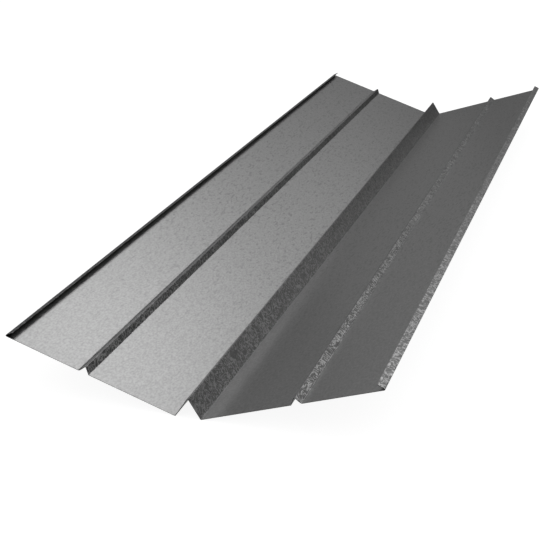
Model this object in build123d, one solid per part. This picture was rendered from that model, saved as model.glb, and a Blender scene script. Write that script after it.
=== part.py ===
"""Valley flashing: one strip of galvanised sheet, folded to a W and laid open side up.

Two wide wings fall towards a raised crown on the centre line, which parts the water of the two roof slopes.
Each wing has a small water rib across its middle, and its outer edge is turned back over it as a return.

Millimetres and degrees. X runs across the valley, Y along it and Z up. The origin lies under the crown, halfway
along the strip, on the level that the two feet of the crown rest on.
"""

from build123d import *
from math import cos, radians, sin
import os

# Stock
sheet_length = 2000.0
sheet_thickness = 0.7

# Straight legs of the section, each from fold to fold along the sheet's underside
crown_leg = 39.0
inner_panel = 152.0
rib_leg = 14.0
outer_panel = 135.0
return_leg = 16.5

# Angles of the legs
wing_angle = 18.5  # of each wing above level
crown_angle = 57.5  # of the crown's sides above level
rib_angle = 54.0  # of the rib's sides above its wing
return_angle = 42.0  # of the gap between the return and its wing

# Inside radii of the folds
fold_radius = 1.0
rib_toe_radius = 4.0  # at the rib's outer foot, which is rolled and not folded


def right_legs():
    """Length and heading of each leg, from the crown's ridge out to the right edge."""
    return [
        (crown_leg, -crown_angle),
        (inner_panel, wing_angle),
        (rib_leg, wing_angle + rib_angle),
        (rib_leg, wing_angle - rib_angle),
        (outer_panel, wing_angle),
        (return_leg, wing_angle + 180 - return_angle),
    ]


def right_fold_points():
    """Corners of the right half's underside, with the crown's ridge at (0, 0)."""
    points = [(0.0, 0.0)]
    for length, heading in right_legs():
        x, z = points[-1]
        points.append((x + length * cos(radians(heading)), z + length * sin(radians(heading))))
    return points


def right_fold_radii():
    """Underside radius of each fold in the right half, after the ridge.

    The underside is the outside of a fold that opens upwards, and there the sheet's thickness adds to the radius.
    """
    opens_up = sheet_thickness
    crown_foot = fold_radius + opens_up
    rib_heel = fold_radius + opens_up
    rib_ridge = fold_radius
    rib_toe = rib_toe_radius + opens_up
    return_fold = fold_radius + opens_up
    return [crown_foot, rib_heel, rib_ridge, rib_toe, return_fold]


def underside_line():
    """The whole section's underside, from the left return to the right one."""
    right = right_fold_points()
    left = [(-x, z) for x, z in reversed(right[1:])]
    radii = right_fold_radii()
    ridge = [fold_radius]
    return FilletPolyline(*left, *right, radius=list(reversed(radii)) + ridge + radii)


def flashing():
    """The section, one sheet thick, drawn out along Y and set down on its lowest folds."""
    outline = underside_line().wire().offset_2d(sheet_thickness, side=Side.LEFT)
    section = Plane.XZ * Face(outline)
    strip = extrude(section, amount=sheet_length / 2, both=True)
    return strip.moved(Location((0, 0, -strip.bounding_box().min.Z)))


os.makedirs("parts", exist_ok=True)
export_step(flashing(), "parts/valley_flashing.step")
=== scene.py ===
"""Looks of a galvanised valley flashing: the zinc coat, the studio round it and the camera.

The flashing's own shape comes packed, and stays as it is. Everything here is in metres and degrees, in its
frame: X across the valley, Y along the strip, Z up, with the floor at Z = 0.
"""

from math import cos, pi, radians, sin, tan

import bpy
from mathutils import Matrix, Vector

# Camera
camera_place = (0.626, -2.537, 0.894)
camera_azimuth = -17.81  # where it looks, turned from +Y towards +X
camera_elevation = -21.45
camera_lens = 81.12  # in millimetres, like the sensor's width
sensor_width = 36.0
camera_reach = 100.0

# Studio, in which a level or a glow of 1 is white
floor_half = 9.0
floor_albedo = 0.75  # of the floor as soft surfaces see it
floor_glow = 0.9  # what the camera sees of the floor even in full shadow
floor_lit = 0.2  # what the light adds to that, so that the shadow shows but stays faint
world_level = 0.9  # what soft surfaces get from the world
bowl_radius = 8.0
bowl_height = 0.00002  # of its bottom, so that it lies just over the floor
bowl_rim = 60.0  # elevation of its upper edge, seen from the flashing
bowl_sides = 96
under_glow = 0.28  # what its bottom adds straight under the flashing, to light the underside
under_across = (0.5, 0.9)  # from the middle, where that light starts to fade and where it ends
under_along = (1.05, 1.5)

# How bright the bowl's wall is at each elevation: dark low down, and about white from the last step up
bowl_steps = [
    (0.0, 0.04),
    (0.5, 0.11),
    (5.0, 0.13),
    (12.0, 0.12),
    (20.0, 0.21),
    (25.0, 0.49),
    (30.0, 0.54),
    (36.0, 0.86),
    (45.0, 1.05),
]

# Soft lamps behind the flashing, all turned towards it from the same distance.
# Each has its azimuth from +Y towards +X, its elevation, its width and height, and its glow.
lamp_distance = 7.0
lamps = {
    "high_lamp": (-7.5, 41.5, 2.0, 2.0, 0.8),
    "middle_lamp": (3.0, 24.5, 1.4, 1.0, 0.2),
    "low_lamp": (18.0, 17.0, 1.7, 1.2, 0.24),
    "right_lamp": (34.0, 14.0, 1.6, 1.2, 1.1),
    "left_lamp": (-20.0, 11.0, 1.6, 1.0, 0.12),
}

# Where each stretch of the section lies, from the middle outwards
crown_end = 0.03
ridge_span = (0.1665, 0.1715)  # of the rib's ridge
toe_span = (0.1725, 0.1875)  # of the rib's toe, its rounder outer foot
return_start = 0.292
gap_span = (0.297, 0.302)  # where the gap under the return gets its painted shade

# How each stretch leans, as parts of its normal
leg_lean = (0.91, 0.93)  # Z, either way: the narrow legs have less than this, and the wide panels more
fold_lean = (-0.25, 0.5)  # outward part of the folds that open upwards: panels and legs lie outside it
ridge_lean = -0.9  # where that begins on the rib's ridge, because no panel is there

# Zinc coat: how bright it is on each stretch, with painted shade that makes the narrow legs and the crown
# darker than the panels
panel_zinc = 0.36
leg_shade_zinc = 0.175  # on the ribs' narrow legs, darker than the panels as painted shade
# darker still on the crown, as painted shade
crown_shade_zinc = 0.151
return_zinc = 0.255
zinc_roughness = 0.28

# How much of that brightness a fold or a hollow keeps, as painted shade
fold_shade_keeps = 0.5
hollow_shade_keeps = 0.25  # painted shade inside the crown, the ribs and the returns
toe_shade_keeps = (0.4, 0.65)  # painted shade on the toe: near the -Y end, and further along
toe_shade_change = (-0.5, 0.2)  # along Y, from where to where the toe's painted shade gets paler
ridge_shade_keeps = 0.75  # further along, where the ridge's painted shade is no longer as dark as a fold's
ridge_shade_change = (-0.5, 0.3)

# Spangle: pale wisps between the zinc's crystals, partly spangle and partly painted glints
crystal_size = 0.012
crystal_swirl = 1.5
crystal_relief = 0.00003
wisp_level = 0.5  # of the noise, where a wisp is palest
wisp_width = 0.09  # of the noise too, from there to the wisp's edges
wisp_average = 0.22
leg_wisps = 2.6
crown_wisps = 1.3
toe_wisps = 0.4  # as a share of the legs'
wisp_glint_change = (-0.7, 0.0)  # along Y, from where to where their contrast falls, as the painted glints fade
faint_wisps = 0.6

# Fine specks, and small dark pits. Rolling has drawn both out along the strip.
speck_size = 0.003
speck_stretch = (1.0, 0.5, 1.0)
speck_range = (0.3, 0.7)  # of the noise, from the darkest speck to the palest
speck_depth = 0.13
pit_size = 0.0045
pit_stretch = (1.0, 0.3, 1.0)
pit_range = (0.3, 0.39)  # of the noise, from the middle of a pit to its rim
pit_depths = (0.04, 0.22)  # near the -Y end, and further along
pit_change = (-0.9, -0.2)  # along Y, from where to where the pits get darker


class Shader:
    """A node tree that is filled from code: each call adds one node and joins it up."""

    def __init__(self, tree):
        self.tree = tree
        self.tree.nodes.clear()

    def add(self, kind, inputs=None, **settings):
        """A new node. An input is a plain value or another node's output socket."""
        node = self.tree.nodes.new(kind)
        for name, value in settings.items():
            setattr(node, name, value)
        for key, value in (inputs or {}).items():
            if isinstance(value, bpy.types.NodeSocket):
                self.tree.links.new(value, node.inputs[key])
            else:
                node.inputs[key].default_value = value
        return node

    def math(self, operation, *values):
        return self.add("ShaderNodeMath", dict(enumerate(values)), operation=operation).outputs[0]

    def ramp(self, value, low, high, start=0.0, end=1.0, curve="LINEAR"):
        """value's way from low to high, as a number from start to end."""
        inputs = {"Value": value, "From Min": low, "From Max": high, "To Min": start, "To Max": end}
        return self.add("ShaderNodeMapRange", inputs, interpolation_type=curve).outputs["Result"]

    def choose(self, where, outside, inside):
        """The number outside where the socket is 0, and the number inside where it is 1."""
        return self.ramp(where, 0.0, 1.0, outside, inside)

    def within(self, value, low, high):
        """1 where value lies from low to high, and 0 elsewhere."""
        return self.math("COMPARE", value, (low + high) / 2, (high - low) / 2)

    def reverse(self, where):
        """0 where the socket is 1, and 1 where it is 0."""
        return self.math("SUBTRACT", 1.0, where)

    def stretch(self, place, shares):
        """A place for noise, whose grains get longer along an axis whose share is under 1."""
        return self.add("ShaderNodeVectorMath", {0: place, 1: shares}, operation="MULTIPLY").outputs[0]

    def noise(self, place, size, detail=1.0, swirl=0.0):
        """Noise with grains of that size."""
        inputs = {"Vector": place, "Scale": 1 / size, "Detail": detail, "Distortion": swirl}
        return self.add("ShaderNodeTexNoise", inputs).outputs["Fac"]

    def matt(self, level):
        return self.add("ShaderNodeBsdfDiffuse", {"Color": grey(level)}).outputs[0]

    def glow(self, level):
        return self.add("ShaderNodeEmission", {"Color": grey(1.0), "Strength": level}).outputs[0]

    def mix_colours(self, share, first, second):
        inputs = {"Factor": share, 6: first, 7: second}
        return self.add("ShaderNodeMix", inputs, data_type="RGBA").outputs[2]

    def mix_surfaces(self, share, first, second):
        return self.add("ShaderNodeMixShader", {"Fac": share, 1: first, 2: second}).outputs[0]


class Stretches:
    """Sockets that say where on the flashing a point is.

    Those named on_ or in_ are 1 there and 0 elsewhere.
    """

    def __init__(self, shader):
        texture = shader.add("ShaderNodeTexCoord")
        self.place = texture.outputs["Object"]
        spot = shader.add("ShaderNodeSeparateXYZ", {"Vector": self.place})
        self.along = spot.outputs["Y"]
        off_middle = shader.math("ABSOLUTE", spot.outputs["X"])

        normal = shader.add("ShaderNodeSeparateXYZ", {"Vector": texture.outputs["Normal"]})
        side = shader.math("SIGN", spot.outputs["X"])
        outward = shader.math("MULTIPLY", normal.outputs["X"], side)
        faces_up = shader.math("GREATER_THAN", normal.outputs["Z"], 0.0)
        flatness = shader.math("ABSOLUTE", normal.outputs["Z"])

        self.on_leg = shader.ramp(flatness, *leg_lean, 1.0, 0.0)
        self.on_crown = shader.math("LESS_THAN", off_middle, crown_end)
        self.on_ridge = shader.within(off_middle, *ridge_span)
        self.on_toe = shader.within(off_middle, *toe_span)

        past_start = shader.math("GREATER_THAN", off_middle, return_start)
        faces_out = shader.math("GREATER_THAN", outward, 0.0)
        self.on_return = shader.math("MULTIPLY", past_start, faces_out)

        # The folds that open upwards, where painted shade dims the bright line the lamps put along them
        lowest = shader.choose(self.on_ridge, fold_lean[0], ridge_lean)
        past_lowest = shader.math("GREATER_THAN", outward, lowest)
        bent = shader.math("MULTIPLY", past_lowest, shader.math("LESS_THAN", outward, fold_lean[1]))
        bent_upwards = shader.math("MULTIPLY", bent, faces_up)
        self.in_shaded_fold = shader.math("MULTIPLY", bent_upwards, shader.reverse(past_start))

        # The gap under each return and the legs' undersides, which get painted shade
        deep = shader.ramp(off_middle, *gap_span)
        in_gap = shader.math("MULTIPLY", deep, shader.math("LESS_THAN", outward, 0.0))
        under_leg = shader.math("MULTIPLY", self.on_leg, shader.reverse(faces_up))
        self.in_shaded_hollow = shader.math("MAXIMUM", in_gap, under_leg)


def grey(level):
    return (level, level, level, 1.0)


def new_material(name):
    material = bpy.data.materials.new(name)
    material.use_nodes = True
    return material, Shader(material.node_tree)


def zinc_with_painted_shade(shader, stretches):
    """How bright the coat is before its spangle and its specks, with painted shade on the legs, the crown,
    the folds and the hollows.
    """
    # Painted shade: the legs and the crown darker than the panels
    leg_shade_level = shader.choose(stretches.on_crown, leg_shade_zinc, crown_shade_zinc)
    zinc = shader.choose(stretches.on_leg, panel_zinc, leg_shade_level)
    zinc = shader.choose(stretches.on_return, zinc, return_zinc)

    # The toe's and the ridge's painted shade gets lighter along Y
    toe_shade_level = shader.ramp(stretches.along, *toe_shade_change, *toe_shade_keeps)
    ridge_shade_level = shader.ramp(stretches.along, *ridge_shade_change, fold_shade_keeps, ridge_shade_keeps)
    shade_kept = shader.choose(stretches.on_toe, fold_shade_keeps, toe_shade_level)
    shade_kept = shader.choose(stretches.on_ridge, shade_kept, ridge_shade_level)
    # Painted shade in the folds
    zinc = shader.math("MULTIPLY", zinc, shader.choose(stretches.in_shaded_fold, 1.0, shade_kept))
    # Painted shade in the hollows
    return shader.math("MULTIPLY", zinc, shader.choose(stretches.in_shaded_hollow, 1.0, hollow_shade_keeps))


def wisps(shader, stretches, spangle):
    """What the wisps multiply the coat's brightness by. The wide panels have none. They are partly spangle
    and partly painted glints, which fade along Y.
    """
    off_wisp = shader.math("ABSOLUTE", shader.math("SUBTRACT", spangle, wisp_level))
    wisp = shader.ramp(off_wisp, 0.0, wisp_width, 1.0, 0.0, curve="SMOOTHSTEP")
    contrast = shader.ramp(stretches.along, *wisp_glint_change, 1.0, faint_wisps)
    off_average = shader.math("SUBTRACT", wisp, wisp_average)
    wisp = shader.math("MULTIPLY_ADD", off_average, contrast, wisp_average)

    bent_toe = shader.math("MULTIPLY", stretches.on_toe, stretches.in_shaded_fold)
    coarse = shader.math("MAXIMUM", stretches.on_leg, shader.math("MULTIPLY", bent_toe, toe_wisps))
    strength = shader.math("MULTIPLY", coarse, shader.choose(stretches.on_crown, leg_wisps, crown_wisps))
    return shader.math("MULTIPLY_ADD", wisp, strength, 1.0)


def specks(shader, stretches):
    """What the specks and the pits multiply the coat's brightness by."""
    speck = shader.noise(shader.stretch(stretches.place, speck_stretch), speck_size)
    speck = shader.ramp(speck, *speck_range, 1.0 - speck_depth, 1.0 + speck_depth)
    pit = shader.noise(shader.stretch(stretches.place, pit_stretch), pit_size, detail=0.0)
    pit = shader.ramp(pit, *pit_range, 1.0, 0.0)
    pit = shader.math("MULTIPLY", pit, shader.ramp(stretches.along, *pit_change, *pit_depths))
    return shader.math("MULTIPLY", speck, shader.reverse(pit))


def zinc_coat():
    """Hot-dipped zinc: satin metal with fine specks, with pale wisps on the narrow legs, partly spangle
    and partly painted glints, and with painted shade on the legs, the crown, the folds and the hollows.
    """
    material, shader = new_material("zinc_coat")
    stretches = Stretches(shader)
    spangle = shader.noise(stretches.place, crystal_size, swirl=crystal_swirl)
    zinc = shader.math("MULTIPLY", zinc_with_painted_shade(shader, stretches), wisps(shader, stretches, spangle))
    zinc = shader.math("MULTIPLY", zinc, specks(shader, stretches))
    relief = {"Strength": 1.0, "Distance": crystal_relief, "Height": spangle}
    surface = {
        "Base Color": zinc,
        "Metallic": 1.0,
        "Roughness": zinc_roughness,
        "Normal": shader.add("ShaderNodeBump", relief).outputs["Normal"],
    }
    coat = shader.add("ShaderNodeBsdfPrincipled", surface).outputs["BSDF"]
    shader.add("ShaderNodeOutputMaterial", {"Surface": coat})
    return material


def seen_by_eye(shader):
    """1 where the ray comes straight from the camera, or by way of metal or glass."""
    path = shader.add("ShaderNodeLightPath")
    either = shader.math("MAXIMUM", path.outputs["Is Camera Ray"], path.outputs["Is Glossy Ray"])
    return shader.math("MAXIMUM", either, path.outputs["Is Transmission Ray"])


def floor_paint():
    """A pale floor that the camera sees as white with a faint shadow, and sees through from below."""
    material, shader = new_material("pale_floor")
    pale = shader.matt(floor_albedo)
    both = {0: shader.glow(floor_glow), 1: shader.matt(floor_lit)}
    white = shader.add("ShaderNodeAddShader", both).outputs[0]
    clear = shader.add("ShaderNodeBsdfTransparent").outputs[0]
    below = shader.add("ShaderNodeNewGeometry").outputs["Backfacing"]
    top = shader.mix_surfaces(seen_by_eye(shader), pale, white)
    shader.add("ShaderNodeOutputMaterial", {"Surface": shader.mix_surfaces(below, top, clear)})
    return material


def bowl_paint():
    """Dark at the bottom and brighter with height, as a studio is under its overhead light."""
    material, shader = new_material("bowl")
    place = shader.add("ShaderNodeTexCoord").outputs["Object"]
    spot = shader.add("ShaderNodeSeparateXYZ", {"Vector": place})
    level = bowl_steps[0][1]
    for (low, start), (high, end) in zip(bowl_steps, bowl_steps[1:]):
        z_low = bowl_radius * tan(radians(low))
        z_high = bowl_radius * tan(radians(high))
        rise = shader.ramp(spot.outputs["Z"], z_low, z_high, 0.0, end - start)
        level = shader.math("ADD", level, rise)
    across = shader.ramp(shader.math("ABSOLUTE", spot.outputs["X"]), *under_across, 1.0, 0.0)
    along = shader.ramp(shader.math("ABSOLUTE", spot.outputs["Y"]), *under_along, 1.0, 0.0)
    under = shader.math("MULTIPLY", across, along)
    level = shader.math("MULTIPLY_ADD", under, under_glow, level)
    shader.add("ShaderNodeOutputMaterial", {"Surface": shader.glow(level)})
    return material


def add_object(name, data):
    thing = bpy.data.objects.new(name, data)
    bpy.context.scene.collection.objects.link(thing)
    return thing


def add_piece(name, points, faces, material):
    mesh = bpy.data.meshes.new(name)
    mesh.from_pydata(points, [], faces)
    mesh.materials.append(material)
    return add_object(name, mesh)


def add_floor():
    corners = [(-1, -1), (1, -1), (1, 1), (-1, 1)]
    points = [(floor_half * x, floor_half * y, 0.0) for x, y in corners]
    piece = add_piece("floor", points, [(0, 1, 2, 3)], floor_paint())


def add_bowl():
    """A round wall and its bottom, which only the metal sees."""
    top = bowl_radius * tan(radians(bowl_rim))
    points = []
    walls = []
    for side in range(bowl_sides):
        turn = 2 * pi * side / bowl_sides
        x = bowl_radius * cos(turn)
        y = bowl_radius * sin(turn)
        points += [(x, y, bowl_height), (x, y, top)]
        here = 2 * side
        after = 2 * ((side + 1) % bowl_sides)
        walls.append((here, after, after + 1, here + 1))
    bottom = tuple(range(0, 2 * bowl_sides, 2))
    piece = add_piece("bowl", points, walls + [bottom], bowl_paint())
    piece.visible_camera = False
    piece.visible_diffuse = False
    piece.visible_shadow = False


def light_world():
    """White behind everything, and a plain even light on soft surfaces."""
    world = bpy.data.worlds.new("studio")
    bpy.context.scene.world = world
    world.use_nodes = True
    shader = Shader(world.node_tree)
    background = shader.mix_colours(seen_by_eye(shader), grey(world_level), grey(1.0))
    light = shader.add("ShaderNodeBackground", {"Color": background, "Strength": 1.0})
    shader.add("ShaderNodeOutputWorld", {"Surface": light.outputs[0]})


def direction(azimuth, elevation):
    """The way that is turned by azimuth from +Y towards +X, and raised by elevation."""
    turn = radians(azimuth)
    tip = radians(elevation)
    return Vector((sin(turn) * cos(tip), cos(turn) * cos(tip), sin(tip)))


def add_lamp(name, azimuth, elevation, width, height, glow):
    data = bpy.data.lights.new(name, "AREA")
    data.shape = "RECTANGLE"
    data.size = width
    data.size_y = height
    data.energy = glow * pi * width * height  # what a matt face of that size and glow gives off
    lamp = add_object(name, data)
    lamp.location = lamp_distance * direction(azimuth, elevation)
    lamp.rotation_euler = lamp.location.to_track_quat("Z", "Y").to_euler()


def add_camera():
    data = bpy.data.cameras.new("camera")
    data.sensor_width = sensor_width
    data.lens = camera_lens
    data.clip_end = camera_reach
    camera = add_object("camera", data)
    camera.location = camera_place
    aim = direction(camera_azimuth, camera_elevation)
    camera.rotation_euler = aim.to_track_quat("-Z", "Y").to_euler()
    bpy.context.scene.camera = camera


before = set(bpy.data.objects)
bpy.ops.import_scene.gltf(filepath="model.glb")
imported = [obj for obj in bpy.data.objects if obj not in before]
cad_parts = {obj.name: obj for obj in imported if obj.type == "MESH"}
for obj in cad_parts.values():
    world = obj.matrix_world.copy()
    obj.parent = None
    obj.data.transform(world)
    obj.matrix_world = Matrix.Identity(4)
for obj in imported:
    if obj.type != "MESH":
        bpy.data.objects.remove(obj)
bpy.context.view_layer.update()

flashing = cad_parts["valley_flashing"]
flashing.data.materials.clear()
flashing.data.materials.append(zinc_coat())

add_camera()
light_world()
add_floor()
add_bowl()
for name, setting in lamps.items():
    add_lamp(name, *setting)

bpy.context.scene.view_settings.view_transform = "Standard"
